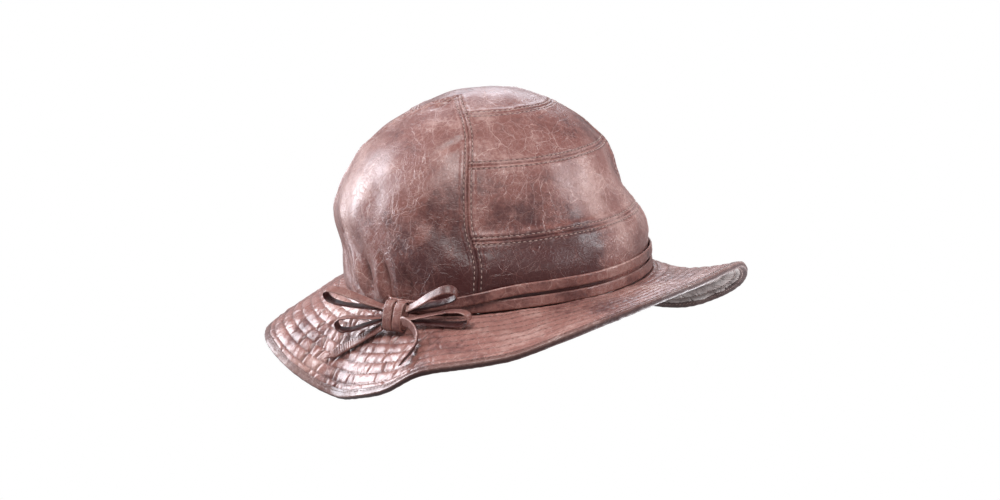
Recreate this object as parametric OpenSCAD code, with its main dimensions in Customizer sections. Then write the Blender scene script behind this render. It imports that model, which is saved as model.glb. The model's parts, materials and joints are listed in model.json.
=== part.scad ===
// Leather bucket hat: pieced crown, stitched wavy brim, double strap band and bow.
// +Z is up the crown, -Y is the front and -X is the wearer's right, where the bow sits.
// The origin is the centre of the head opening, level with the seam of crown and brim.

/* [Head] */
// Head size that the hat is made for, measured round the forehead
head_size = 570; // [550:5:590]
// Height of the sweatband
sweatband_h = 25; // [18:1:26]
// Thickness of the sweatband
sweatband_t = 1; // [0.8:0.1:1]

/* [Crown] */
// Height of the crown above the head opening
crown_h = 116.5; // [108:0.5:126]
// How far the crown leans back at half height
crown_lean = 11; // [0:0.5:14]
// Thickness of the crown leather
leather_t = 1.4; // [1:0.1:1.6]
// Half width of a side panel at its base, in degrees round the crown
side_half = 42.7; // [38:0.1:48]
// How far up the dome a side panel comes to its point, in degrees
side_tip = 73.4; // [70:0.1:77]
// How far the opening sinks below its plane beside the bow
base_dip = 3.5; // [0:0.5:5]
// Gap left at every seam between two crown panels
seam_gap = 0.2; // [0.1:0.05:0.4]

/* [Brim] */
// Width of the brim from crown to edge
brim_w = 59; // [56:1:66]
// Thickness of each of the brim's two leather faces
brim_leather_t = 0.9; // [0.7:0.1:1.2]
// Thickness of the stiffening between them
interlining_t = 0.8; // [0.5:0.1:1.2]
// Width of the binding folded over the edge
binding_w = 4; // [3:0.5:6]
// Thickness of the binding
binding_t = 0.6; // [0.4:0.1:0.8]

/* [Band and bow] */
// Width of the folded strap that makes the band and the bow
strap_w = 6.3; // [5:0.1:7]
// Thickness of the folded strap
strap_t = 1.5; // [1:0.1:1.6]
// Direction of the bow round the crown, 180 is the wearer's right
bow_at = 194; // [190:1:198]
// Height of the knot
knot_h = 18.5; // [16:0.5:20]

/* [Hidden] */

brown = [0.50, 0.33, 0.29];
dark_brown = [0.36, 0.24, 0.22];
cloth = [0.28, 0.20, 0.18];

// Radii of the layers at the head opening, from the head outwards
head_r = head_size / (2 * PI);
tape_r = head_r + sweatband_t + 0.1;
tape_t = 0.4;
lining_t = 0.5;
crown_r = head_r + 4.3;
lining_depth = leather_t + 0.3;

// The dome: these two powers make its sides fuller and its shoulders rounder than a sphere's
side_power = 1.154;
rise_power = 0.696;
// Heights where the lean begins, above the sweatband, and where it is full
lean_start = 20;
lean_full = 50;
// Heights of the three cross seams of the centre band, in degrees up the dome
seam_low = 12;
seam_mid = 35.5;
seam_top = 60.5;
// Share of the centre band, from its top line to its end, that lies above the top cross seam
top_share = 0.3;

// Height of the brim's edge at every 10 degrees, from the left side through the back
edge_heights = [-46, -44, -42, -40, -40, -44, -47, -45, -41, -35, -30, -30, -31, -30, -29, -30, -38, -46,
                -49, -43, -35, -21, -16, -12, -4, 3, 8, 11, 12, 12, 9, -2, -16, -29, -40, -45];
// Direction in which the crown and brim seam is lowest, a little in front of the bow
dip_at = 199;
// Share of the brim's fall that is steady, the rest gathers towards the edge
steady_fall = 0.8;
brim_depth = 2 * brim_leather_t + interlining_t;
brim_inner_r = tape_r + 0.3;

ring_steps = 60;
cross = 12;
strip_rows = 4;
top_rows = 12;
hem_crowding = 1.4;

// ---------- shared functions ----------

function unit(v) = v / norm(v);
function out_dir(a) = [cos(a), sin(a), 0];
function around_dir(a) = [-sin(a), cos(a), 0];

// A smooth periodic curve through values that are evenly spaced round a circle
function wave(values, a) =
    let (n = len(values), x = a * n / 360, i = floor(x), t = x - i,
         p = [for (k = [-1:2]) values[((i + k) % n + n) % n]])
    0.5 * (2 * p[1] + (p[2] - p[0]) * t + (2 * p[0] - 5 * p[1] + 4 * p[2] - p[3]) * t * t
        + (3 * p[1] - p[0] - 3 * p[2] + p[3]) * t * t * t);

// Angle from b to a, between -180 and 180
function turn(a, b) = let (d = (a - b + 540) % 360) d - 180;

// How far the crown and brim seam lies below the opening's plane in a direction
function dip(a) = let (d = turn(a, dip_at)) abs(d) < 60 ? base_dip * pow(cos(1.5 * d), 2) : 0;

// Joins two equal grids of points, rows upwards and columns to the right seen from outside
module sheet(outer, inner, closed = false) {
    rows = len(outer);
    cols = len(outer[0]);
    n = rows * cols;
    steps = closed ? cols : cols - 1;
    last = rows - 1;
    function at(i, j) = i * cols + j % cols;
    skin = [for (i = [0:last - 1], j = [0:steps - 1])
        each [[at(i, j), at(i + 1, j), at(i + 1, j + 1)], [at(i, j), at(i + 1, j + 1), at(i, j + 1)]]];
    back = [for (f = skin) [n + f[2], n + f[1], n + f[0]]];
    foot = [for (j = [0:steps - 1])
        each [[at(0, j), at(0, j + 1), n + at(0, j + 1)], [at(0, j), n + at(0, j + 1), n + at(0, j)]]];
    head = [for (j = [0:steps - 1])
        each [[at(last, j + 1), at(last, j), n + at(last, j)],
              [at(last, j + 1), n + at(last, j), n + at(last, j + 1)]]];
    left = closed ? [] : [for (i = [0:last - 1])
        each [[at(i + 1, 0), at(i, 0), n + at(i, 0)], [at(i + 1, 0), n + at(i, 0), n + at(i + 1, 0)]]];
    right = closed ? [] : [for (i = [0:last - 1])
        each [[at(i, cols - 1), at(i + 1, cols - 1), n + at(i + 1, cols - 1)],
              [at(i, cols - 1), n + at(i + 1, cols - 1), n + at(i, cols - 1)]]];
    points = [for (grid = [outer, inner], row = grid) each row];
    polyhedron(points, concat(skin, back, foot, head, left, right));
}

// ---------- crown ----------

// How far back the dome has leant at a height: none beside the sweatband, most at half height
function lean(z) =
    let (rise = min(max((z - lean_start) / (lean_full - lean_start), 0), 1),
         fall = max(sin(180 * max(z, crown_h / 2) / crown_h), 0))
    crown_lean * rise * rise * (3 - 2 * rise) * pow(fall, 0.7);

// A point on the dome in direction a and u degrees up, at a depth below the outer face
function crown_point(a, u, depth) =
    let (z = (crown_h - depth) * pow(sin(u), rise_power),
         r = (crown_r - depth) * pow(cos(u), side_power),
         soften = dip(a) * max(1 - z / 30, 0))
    [r * cos(a), r * sin(a) + lean(z), z - soften];

// Half width of a side panel, in degrees round the crown, at u degrees up
function side_width(u) = side_half * (1 - pow(min(u / side_tip, 1), 6.8));

function side_point(middle, u, c, depth) =
    crown_point(middle + c * side_width(u), u, depth);

// A point on the centre band: v runs from the front hem, -1, over the top, 0, to the back, 1,
// and c runs from the right side seam, -1, to the left one, 1
function centre_point(v, c, depth) =
    let (share = abs(v), face = v < 0 ? -1 : 1)
    share >= top_share
        ? let (u = seam_top * (1 - share) / (1 - top_share), half = 90 - side_width(u))
          crown_point(face * (90 - c * half), u, depth)
        : let (w = share / top_share, half = 90 - side_width(seam_top),
               u = side_tip + (seam_top - side_tip) * w, side = 90 - side_width(u),
               edge_r = crown_r * pow(cos(u), side_power),
               reach = crown_r * pow(cos(seam_top), side_power) * w,
               x = edge_r * sin(side) * sin(c * half) / sin(half),
               bulge = (cos(c * half) - cos(half)) / (1 - cos(half)),
               y = face * (edge_r * cos(side) * (1 - bulge) + reach * bulge),
               flat_r = norm([x, y]))
          crown_point(atan2(y, x), acos(pow(min(flat_r / crown_r, 1), 1 / side_power)), depth);

// The share along the centre band of a cross seam that lies u degrees up
function seam_share(u) = 1 - (1 - top_share) * u / seam_top;

// Rows are closer together near the hem, where the dome's profile turns fastest
module side_panel(middle, depth, thick, rows = 18, cols = 11) {
    reach = side_tip - 0.9;
    inset = 1 - seam_gap / 70;
    grid = [for (d = [depth, depth + thick])
        [for (i = [0:rows])
            [for (j = [0:cols])
                side_point(middle, reach * pow(i / rows, hem_crowding), inset * (2 * j / cols - 1), d)]]];
    sheet(grid[0], grid[1]);
}

// Even steps from one place on the centre band towards another, the last one left out
function steps(from, to, n) = [for (i = [0:n - 1]) from + (to - from) * i / n];

// A piece of the centre band, with a row of points at each of the places along it
module centre_strip(places, depth, thick) {
    inset = 1 - seam_gap / 70;
    grid = [for (d = [depth, depth + thick])
        [for (v = places) [for (j = [0:cross]) centre_point(v, inset * (2 * j / cross - 1), d)]]];
    sheet(grid[0], grid[1]);
}

// The places of a strip between two seams, kept clear of both by half the seam gap
function strip_places(from, to, rows) =
    concat(steps(from + seam_gap / 400, to - seam_gap / 400, rows), [to - seam_gap / 400]);

module side_panel_right() { color(brown) side_panel(180, 0, leather_t); }
module side_panel_left() { color(brown) side_panel(0, 0, leather_t); }

module crown_top_strip() {
    color(brown) centre_strip(strip_places(-top_share, top_share, top_rows), 0, leather_t);
}

// One strip of the centre band, at the front for face -1 and at the back for face 1
module cross_strip(face, low, high) {
    a = face * seam_share(low);
    b = face * seam_share(high);
    color(brown) centre_strip(strip_places(min(a, b), max(a, b), strip_rows), 0, leather_t);
}

module front_strip_upper() { cross_strip(-1, seam_mid, seam_top); }
module front_strip_middle() { cross_strip(-1, seam_low, seam_mid); }
module front_strip_lower() { cross_strip(-1, 0, seam_low); }
module back_strip_upper() { cross_strip(1, seam_mid, seam_top); }
module back_strip_middle() { cross_strip(1, seam_low, seam_mid); }
module back_strip_lower() { cross_strip(1, 0, seam_low); }

// ---------- inside the crown ----------

module lining_right() { color(cloth) side_panel(180, lining_depth, lining_t); }
module lining_left() { color(cloth) side_panel(0, lining_depth, lining_t); }

// One piece of cloth behind all seven strips of the centre band
module lining_centre() {
    low = seam_share(seam_low);
    mid = seam_share(seam_mid);
    places = concat(
        steps(-1, -low, strip_rows), steps(-low, -mid, strip_rows), steps(-mid, -top_share, strip_rows),
        steps(-top_share, top_share, top_rows), steps(top_share, mid, strip_rows),
        steps(mid, low, strip_rows), steps(low, 1, strip_rows), [1]);
    color(cloth) centre_strip(places, lining_depth, lining_t);
}

module tube(inner_r, thick, from, to) {
    translate([0, 0, from])
        difference() {
            cylinder(h = to - from, r = inner_r + thick, $fn = 180);
            translate([0, 0, -1]) cylinder(h = to - from + 2, r = inner_r, $fn = 180);
        }
}

// The sweatband is the round bore that the head goes into
module sweatband() { color(dark_brown) tube(head_r, sweatband_t, -3, sweatband_h - 3); }

// Tape over the inside of the crown and brim seam
module seam_tape() { color(cloth) tube(tape_r, tape_t, 0.2, 9); }

// A blank woven label on the lining at the back
module blank_label() {
    label_depth = lining_depth + lining_t + 1.6;
    rows = 4;
    grid = [for (d = [label_depth, label_depth + 0.4])
        [for (i = [0:rows])
            [for (j = [0:rows * 2]) crown_point(100 - 20 * j / (rows * 2), 13 + 6 * i / rows, d)]]];
    color("silver") sheet(
        [for (row = grid[0]) [for (j = [len(row) - 1:-1:0]) row[j]]],
        [for (row = grid[1]) [for (j = [len(row) - 1:-1:0]) row[j]]]);
}

// ---------- brim ----------

// A point of the brim in direction a: t is 0 at the crown and 1 at the edge
function brim_point(a, t, depth) =
    let (fall = wave(edge_heights, a) + dip(a), run = sqrt(brim_w * brim_w - fall * fall),
         slope = fall * (steady_fall + 2 * (1 - steady_fall) * t) / run,
         size = norm([1, slope]),
         r = crown_r + 0.5 + run * t + depth * slope / size,
         z = fall * (steady_fall * t + (1 - steady_fall) * t * t) - depth / size)
    [r * cos(a), r * sin(a), z - dip(a)];

// The brim's level inner edge, that the crown stands on
function brim_root(a, depth) =
    [brim_inner_r * cos(a), brim_inner_r * sin(a), -dip(a) - depth];

module brim_layer(depth, thick, cells = 6) {
    grid = [for (d = [depth, depth + thick])
        concat(
            [for (i = [cells:-1:0])
                [for (j = [0:ring_steps - 1]) brim_point(j * 360 / ring_steps, i / cells, d)]],
            [[for (j = [0:ring_steps - 1]) brim_root(j * 360 / ring_steps, d)]])];
    sheet(grid[0], grid[1], closed = true);
}

module brim_upper() { color(brown) brim_layer(0, brim_leather_t); }
module brim_interlining() { color("gray") brim_layer(brim_leather_t, interlining_t); }
module brim_under() { color(brown) brim_layer(brim_leather_t + interlining_t, brim_leather_t); }

// A strip folded over the edge, in steps out from the edge and depths below the upper face
module brim_binding() {
    gap = 0.2;
    thick = binding_t + gap;
    outer = [[-binding_w, brim_depth + thick], [0.1, brim_depth + thick], [thick, brim_depth],
             [thick, 0], [0.1, -thick], [-binding_w, -thick]];
    inner = [[-binding_w, brim_depth + gap], [gap, brim_depth + gap], [gap, brim_depth],
             [gap, 0], [gap, -gap], [-binding_w, -gap]];
    grid = [for (profile = [outer, inner])
        [for (p = profile)
            [for (j = [0:ring_steps - 1]) brim_point(j * 360 / ring_steps, 1 + p[0] / brim_w, p[1])]]];
    color(dark_brown) sheet(grid[0], grid[1], closed = true);
}

// ---------- band ----------

// How close a direction is to the bow, from 0 at 45 degrees away to 1 at the bow
function near_bow(a) = let (d = abs(turn(a, bow_at))) d < 45 ? pow(cos(2 * d), 2) : 0;

// Both straps lie side by side on the crown and slide over each other towards the bow
module band_strap(low, gap, low_at_bow, gap_at_bow) {
    grid = [for (g = [gap + strap_t, gap])
        [for (h = [0, strap_w])
            [for (j = [0:ring_steps - 1])
                let (a = j * 360 / ring_steps, k = near_bow(a),
                     z = low + (low_at_bow - low) * k + h,
                     r = crown_r + g + (gap_at_bow - gap) * min(4 * k, 1))
                [r * cos(a), r * sin(a), z - dip(a)]]]];
    sheet(grid[0], grid[1], closed = true);
}

module band_lower() { color(brown) band_strap(0.9, 0.35, 0.9, 0.5); }
module band_upper() { color(brown) band_strap(9.2, 0.35, 2.4, 2.3); }

// ---------- bow ----------

knot_r = crown_r + 13.5;
knot_mid = knot_r * out_dir(bow_at) + [0, 0, -2];
knot_out = out_dir(bow_at);
knot_side = around_dir(bow_at);
// The knot leans with its foot outwards, as the brim falls away under it
knot_lean = 20;
knot_face = knot_out * cos(knot_lean) + [0, 0, sin(knot_lean)];
knot_up = [0, 0, cos(knot_lean)] - knot_out * sin(knot_lean);
knot_depth = 8.4;
knot_corner = 3.4;
wrap_w = 6.8;
wrap_shift = 3.6;

// A flat strap along a path of points, its width along the direction given for each
module ribbon(path, across, width, thick) {
    last = len(path) - 1;
    grid = [for (side = [-1, 1])
        [for (i = [0:last])
            let (along = unit(path[min(i + 1, last)] - path[max(i - 1, 0)]),
                 wide = unit(across[i] - (across[i] * along) * along),
                 face = cross(wide, along))
            [for (e = [-1, 1]) path[i] + e * width / 2 * wide - side * thick / 2 * face]]];
    sheet(grid[0], grid[1]);
}

// One wrap of the knot: an upright ring, rounded like a strap pulled tight
module knot_wrap(shift) {
    translate(knot_mid + shift * knot_side)
        rotate([0, 0, bow_at])
            rotate([90, 0, 0])
                linear_extrude(height = wrap_w, center = true)
                    difference() {
                        knot_outline(0);
                        knot_outline(strap_t);
                    }
}

module knot_outline(inset) {
    corner = knot_corner - inset / 2;
    dx = knot_depth / 2 - inset - corner;
    dy = knot_h / 2 - inset - corner;
    rotate([0, 0, knot_lean])
        hull()
            for (sx = [-1, 1], sy = [-1, 1])
                translate([sx * dx, sy * dy]) circle(r = corner, $fn = 32);
}

module bow_knot() {
    color(brown) {
        knot_wrap(-wrap_shift);
        knot_wrap(wrap_shift);
    }
}

// The straps that pass through the knot, pressed together
module bow_knot_core() {
    color(dark_brown)
        translate(knot_mid)
            rotate([0, 0, bow_at])
                rotate([90, 0, 0])
                    linear_extrude(height = 2 * wrap_w + 0.2, center = true)
                        knot_outline(strap_t + 0.15);
}

// A teardrop loop from root to tip: its front run faces up and outwards, more up for a greater tilt
module bow_loop(root, tip, opening, tilt) {
    along = unit(tip - root);
    flat = unit(knot_out - (knot_out * along) * along);
    raw = cross(flat, along);
    up = raw * sign(raw[2]);
    face = up * sin(tilt) + flat * cos(tilt);
    wide = up * cos(tilt) - flat * sin(tilt);
    length = norm(tip - root);
    steps = 26;
    start = 16;
    path = [for (i = [0:steps])
        let (q = start + (360 - 2 * start) * i / steps)
        root + along * length * (sin(q / 2) - sin(start / 2)) / (1 - sin(start / 2))
            + face * (opening / 2 * sin(q) * sin(q / 2) + (i < steps / 2 ? 0.6 : -0.6))];
    ribbon(path, [for (p = path) wide], strap_w - 0.5, strap_t - 0.3);
}

// Places on the knot's two ends, h up and d outwards from its middle
function knot_end(side, h, d) =
    knot_mid + side * (wrap_w + 1.2) * knot_side + knot_face * d + knot_up * h;

module bow_loop_front_upper() {
    color(brown) bow_loop(knot_end(1, 4.2, 0.3), [-90.5, -63.5, 15], 11, 45);
}
module bow_loop_front_lower() {
    color(brown) bow_loop(knot_end(1, -1.6, -0.5), [-89, -72.5, 1], 9.5, 75);
}
module bow_loop_back_upper() {
    color(brown) bow_loop(knot_end(-1, 3.6, 0.3), [-119, 21.5, 7.5], 11, 70);
}
module bow_loop_back_lower() {
    color(brown) bow_loop(knot_end(-1, -2.2, 0.3), [-119.5, 12, -10.5], 9, 75);
}

// The end of the bow that lies on the brim behind the knot
module bow_tail_back() {
    path = [[-108.9, -18.2, -8.6], [-109.4, -14.5, -10.8], [-110.4, -9.5, -13.4], [-112, -3.5, -17],
            [-114.3, 2.6, -20.6], [-117, 8, -24], [-119.5, 12, -26.5], [-122.5, 15.5, -29.2],
            [-125.5, 18.5, -31.9]];
    across = [for (p = path) [-0.6, -0.1, -0.8]];
    color(dark_brown) ribbon(path, across, strap_w, strap_t);
}

// The end that curls forward from the knot and stands on the brim
module bow_tail_front() {
    path = [[-108.3, -35.9, -3.4], [-108.8, -38.8, -2.6], [-108.8, -43, -3.4], [-109.4, -47.6, -5.6],
            [-111, -51.2, -8.4], [-114, -54.2, -11.1], [-118.6, -56.6, -13.6], [-124.4, -57.8, -16.4],
            [-131, -57.8, -20.6]];
    across = [for (i = [0:len(path) - 1]) [-0.2, -0.3 - 0.05 * i, 0.9 - 0.035 * i]];
    color(brown) ribbon(path, across, strap_w, strap_t);
}

side_panel_right();
side_panel_left();
crown_top_strip();
front_strip_upper();
front_strip_middle();
front_strip_lower();
back_strip_upper();
back_strip_middle();
back_strip_lower();
brim_upper();
brim_interlining();
brim_under();
brim_binding();
sweatband();
seam_tape();
lining_right();
lining_left();
lining_centre();
blank_label();
band_lower();
band_upper();
bow_knot();
bow_knot_core();
bow_loop_back_upper();
bow_loop_back_lower();
bow_loop_front_upper();
bow_loop_front_lower();
bow_tail_back();
bow_tail_front();
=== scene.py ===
import json
import math
import bmesh
import bpy
import numpy as np
from mathutils import Matrix, Vector

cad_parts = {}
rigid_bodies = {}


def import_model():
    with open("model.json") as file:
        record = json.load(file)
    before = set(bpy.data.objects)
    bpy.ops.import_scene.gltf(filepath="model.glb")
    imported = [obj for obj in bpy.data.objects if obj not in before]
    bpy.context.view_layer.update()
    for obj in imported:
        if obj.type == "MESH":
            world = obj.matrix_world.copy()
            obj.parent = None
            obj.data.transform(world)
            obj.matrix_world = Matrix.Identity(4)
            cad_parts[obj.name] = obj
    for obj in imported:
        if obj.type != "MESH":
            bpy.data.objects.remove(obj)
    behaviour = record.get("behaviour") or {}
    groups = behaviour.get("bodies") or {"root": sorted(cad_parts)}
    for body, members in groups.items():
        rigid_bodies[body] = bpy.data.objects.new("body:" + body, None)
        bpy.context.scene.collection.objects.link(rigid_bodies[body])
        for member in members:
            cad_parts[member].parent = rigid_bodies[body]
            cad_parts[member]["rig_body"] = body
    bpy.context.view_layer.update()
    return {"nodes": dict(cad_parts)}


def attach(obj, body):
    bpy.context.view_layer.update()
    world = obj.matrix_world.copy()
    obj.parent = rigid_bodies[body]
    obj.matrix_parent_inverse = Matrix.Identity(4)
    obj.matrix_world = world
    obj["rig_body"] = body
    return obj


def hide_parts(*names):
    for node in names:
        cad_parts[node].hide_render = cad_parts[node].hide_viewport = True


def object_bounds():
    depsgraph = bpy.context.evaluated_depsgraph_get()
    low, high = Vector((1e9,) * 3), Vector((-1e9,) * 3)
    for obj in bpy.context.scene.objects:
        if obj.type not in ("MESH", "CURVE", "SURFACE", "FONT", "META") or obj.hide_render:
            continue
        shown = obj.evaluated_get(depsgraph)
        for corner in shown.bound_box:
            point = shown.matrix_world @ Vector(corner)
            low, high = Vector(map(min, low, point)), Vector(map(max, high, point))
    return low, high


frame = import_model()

scene = bpy.context.scene
seeds = np.random.default_rng(7)

# camera, level with the brim and a little above it, in front of the bow
turnAngle, rise, roll = math.radians(-42), math.radians(13.3), math.radians(3.05)
back = Vector((math.sin(turnAngle) * math.cos(rise), -math.cos(turnAngle) * math.cos(rise), math.sin(rise)))
level = Vector((math.cos(turnAngle), math.sin(turnAngle), 0))
upright = back.cross(level)
camRight = level * math.cos(roll) - upright * math.sin(roll)
camUp = level * math.sin(roll) + upright * math.cos(roll)
camera = bpy.data.objects.new("camera", bpy.data.cameras.new("camera"))
scene.collection.objects.link(camera)
camera.data.lens = 71.9
camera.data.sensor_width = 36
camera.data.shift_x, camera.data.shift_y = 0.0024, 0.0216
camera.data.clip_start, camera.data.clip_end = 0.05, 50
camera.matrix_world = Matrix.Translation(back * 1.25) @ Matrix(
    [[camRight[k], camUp[k], back[k]] for k in range(3)]).to_4x4()
scene.camera = camera
print("camera ready", flush=True)

# shape of the hat, in millimetres, +Z up the crown, -Y front
hat = {
    "headRadius": 570 / (2 * math.pi), "crownHeight": 116.5, "crownLean": 11, "leather": 1.4,
    "sideHalf": 42.7, "sideTip": 73.4, "baseDip": 3.5, "dipAt": 199, "brimWidth": 59,
    "brimLeather": 0.9, "stiffening": 0.8, "bowAt": 194, "strapWidth": 6.3, "strapThick": 1.5,
    "sidePower": 1.154, "risePower": 0.696, "leanStart": 20, "leanFull": 50,
    "seamLow": 12, "seamMid": 35.5, "seamTop": 60.5, "topShare": 0.3,
}
edgeHeights = [-46, -44, -42, -40, -40, -44, -47, -45, -41, -35, -30, -30, -31, -30, -29, -30, -38, -46,
               -49, -43, -35, -21, -16, -12, -4, 3, 8, 11, 12, 12, 9, -2, -16, -29, -40, -45]
crownRadius = hat["headRadius"] + 4.3
brimDepth = 2 * hat["brimLeather"] + hat["stiffening"]


def sind(x):
    return np.sin(np.radians(x))


def cosd(x):
    return np.cos(np.radians(x))


def smooth(low, high, x):
    t = np.clip((x - low) / (high - low), 0, 1)
    return t * t * (3 - 2 * t)


def unit(v):
    return v / np.maximum(np.linalg.norm(v, axis=-1, keepdims=True), 1e-9)


def wave(values, a):
    values = np.asarray(values, float)
    n = len(values)
    x = np.asarray(a, float) * n / 360
    i = np.floor(x).astype(int)
    t = x - i
    p = [values[(i + k) % n] for k in (-1, 0, 1, 2)]
    return 0.5 * (2 * p[1] + (p[2] - p[0]) * t + (2 * p[0] - 5 * p[1] + 4 * p[2] - p[3]) * t**2
                  + (3 * p[1] - p[0] - 3 * p[2] + p[3]) * t**3)


def turn(a, b):
    return (np.asarray(a, float) - b + 540) % 360 - 180


def dip(a):
    d = turn(a, hat["dipAt"])
    return np.where(np.abs(d) < 60, hat["baseDip"] * cosd(1.5 * d) ** 2, 0)


def lean(z):
    h = hat["crownHeight"]
    up = np.clip((z - hat["leanStart"]) / (hat["leanFull"] - hat["leanStart"]), 0, 1)
    fall = np.maximum(sind(180 * np.maximum(z, h / 2) / h), 0)
    return hat["crownLean"] * up * up * (3 - 2 * up) * fall**0.7


def crownPoint(a, u, depth=0):
    z = (hat["crownHeight"] - depth) * sind(u) ** hat["risePower"]
    r = (crownRadius - depth) * np.maximum(cosd(u), 0) ** hat["sidePower"]
    return np.stack(np.broadcast_arrays(
        r * cosd(a), r * sind(a) + lean(z), z - dip(a) * np.maximum(1 - z / 30, 0)), -1)


def sideWidth(u):
    return hat["sideHalf"] * (1 - np.minimum(u / hat["sideTip"], 1) ** 6.8)


def sidePoint(middle, u, c, depth=0):
    return crownPoint(middle + c * sideWidth(u), u, depth)


def centrePoint(v, c, depth=0):
    share, face = np.abs(v), np.where(v < 0, -1, 1)
    u = hat["seamTop"] * (1 - share) / (1 - hat["topShare"])
    low = crownPoint(face * (90 - c * (90 - sideWidth(u))), u, depth)
    w = np.minimum(share / hat["topShare"], 1)
    half = 90 - sideWidth(hat["seamTop"])
    u = hat["sideTip"] + (hat["seamTop"] - hat["sideTip"]) * w
    side = 90 - sideWidth(u)
    edge = crownRadius * cosd(u) ** hat["sidePower"]
    reach = crownRadius * cosd(hat["seamTop"]) ** hat["sidePower"] * w
    x = edge * sind(side) * sind(c * half) / sind(half)
    bulge = (cosd(c * half) - cosd(half)) / (1 - cosd(half))
    y = face * (edge * cosd(side) * (1 - bulge) + reach * bulge)
    flat = np.minimum(np.hypot(x, y) / crownRadius, 1)
    upTop = np.degrees(np.arccos(flat ** (1 / hat["sidePower"])))
    top = crownPoint(np.degrees(np.arctan2(y, x)), upTop, depth)
    return np.where((share >= hat["topShare"])[..., None], low, top)


def seamShare(u):
    return 1 - (1 - hat["topShare"]) * u / hat["seamTop"]


def brimPoint(a, t, depth=0):
    fall = wave(edgeHeights, a) + dip(a)
    run = np.sqrt(hat["brimWidth"] ** 2 - fall**2)
    slope = fall * (0.8 + 0.4 * t) / run
    size = np.hypot(1, slope)
    r = crownRadius + 0.5 + run * t + depth * slope / size
    z = fall * (0.8 * t + 0.2 * t * t) - depth / size
    return np.stack(np.broadcast_arrays(r * cosd(a), r * sind(a), z - dip(a)), -1)


# soft, uneven swelling of worn leather: a sum of slow waves in random directions
def makeRipple(count, shortest, longest):
    ways = unit(seeds.normal(size=(count, 3)))
    waves = ways * (2 * math.pi / seeds.uniform(shortest, longest, count))[:, None]
    return waves, seeds.uniform(0, 6.28, count)


def ripple(points, waves):
    return np.sin(points @ waves[0].T + waves[1]).sum(-1) / math.sqrt(len(waves[1]))


broadWaves = makeRipple(14, 38, 90)
middleWaves = makeRipple(18, 14, 34)
smallWaves = makeRipple(26, 4, 11)

# folds and ridges on the crown, each from one place to another: direction, height, height in mm, width in mm
crownFolds = [
    (155, 36, 168, -3, -3.6, 2.3), (149, 27, 160, -3, -2.6, 2.1), (160, 34, 173, 2, 2.7, 2.7),
    (163, 22, 175, 0, 1.4, 2.4), (171, 24, 177, 1, -2.9, 2.1), (177, 27, 183, 2, 1.9, 2.8),
    (182, 28, 186, 3, -2.7, 2.3), (140, 56, 147, 16, 1.9, 9.0), (188, 26, 192, 5, 1.9, 2.8),
    (154, 52, 160, 36, 0.9, 5.0), (193, 22, 196, 6, -2.0, 2.3),
    (193, 38, 199, 12, -1.0, 4.2), (203, 30, 207, 13, 0.9, 4.0), (168, 60, 178, 34, 1.2, 8.0),
    (176, 74, 186, 46, -0.9, 7.0), (196, 58, 214, 44, -0.8, 6.0), (214, 40, 224, 22, -0.9, 6.5),
    (206, 88, 222, 96, -1.3, 2.6), (243, 34, 262, 27, -1.1, 5.5), (258, 46, 276, 40, 1.0, 6.0),
    (262, 22, 284, 24, -1.0, 4.5), (290, 30, 306, 38, 1.3, 6.0), (304, 66, 322, 54, -3.4, 9.0),
    (300, 34, 324, 28, 1.8, 9.0), (312, 52, 330, 47, -1.6, 4.0), (318, 80, 336, 72, 1.4, 7.0),
    (234, 82, 252, 74, 0.8, 7.0), (20, 40, 44, 24, -1.4, 6.0), (340, 26, 4, 18, -1.2, 5.0),
    (66, 50, 92, 40, -1.2, 7.0), (98, 28, 120, 22, -1.3, 5.0), (110, 62, 132, 50, 1.2, 7.0),
    (128, 24, 139, 4, -1.5, 3.4), (50, 20, 62, 4, -1.1, 4.0), (30, 72, 58, 66, 1.0, 7.0),
]


# short pleats near the top, from one point to another in millimetres: height, width
topPleats = [((-24, 2.5, 112.6), (-37, 9, 108.2), -1.5, 1.9), ((-25, 0, 111.8), (-38, 2, 106), 0.9, 1.6)]


def foldHeight(away, along, amount, width):
    fade = 0.35 + 0.65 * np.sin(math.pi * np.clip(along, 0.02, 0.98))  # lower towards both ends
    return amount * np.exp(-((away / width) ** 2)) * fade


def crownSwell(points):
    a = np.degrees(np.arctan2(points[..., 1] - lean(points[..., 2]), points[..., 0])) % 360
    z = points[..., 2]
    total = 0.55 * ripple(points, broadWaves) + 0.24 * ripple(points, middleWaves)
    for a0, z0, a1, z1, amount, width in crownFolds:
        scale = crownRadius * math.pi / 180 * 0.97
        ax, ay = turn(a, a0) * scale, z - z0
        bx, by = float(turn(a1, a0)) * scale, z1 - z0
        s = np.clip((ax * bx + ay * by) / (bx * bx + by * by), 0, 1)
        away = np.hypot(ax - s * bx, ay - s * by)
        total = total + foldHeight(away, s, amount, width)
    for start, end, amount, width in topPleats:
        start, step = np.array(start, float), np.array(end, float) - np.array(start, float)
        s = np.clip(((points - start) @ step) / (step @ step), 0, 1)
        away = np.linalg.norm(points - start - s[..., None] * step, axis=-1)
        total = total + foldHeight(away, s, amount, width)
    total = total * (0.25 + 0.75 * smooth(0, 8, z))
    overhang = smooth(118, 134, a) * (1 - smooth(181, 187, a))  # the gathered foot hides the straps there
    total = total + overhang * 1.0 * np.exp(-(((z - 4) / 9) ** 2))
    return total


# the side seam by the bow runs straight down: the leather there is drawn a little towards the bow
def settle(points):
    a = np.degrees(np.arctan2(points[..., 1], points[..., 0])) % 360
    shift = np.radians(-2.3 * np.exp(-((turn(a, 224) / 17) ** 2)) * (1 - smooth(6, 46, points[..., 2])))
    x = points[..., 0] * np.cos(shift) - points[..., 1] * np.sin(shift)
    y = points[..., 0] * np.sin(shift) + points[..., 1] * np.cos(shift)
    return np.stack([x, y, points[..., 2]], -1)


def gridNormals(p, closed=False):
    if closed:
        across = np.roll(p, -1, 1) - np.roll(p, 1, 1)
    else:
        across = np.gradient(p, axis=1)
    return unit(np.cross(across, np.gradient(p, axis=0)))


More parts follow.
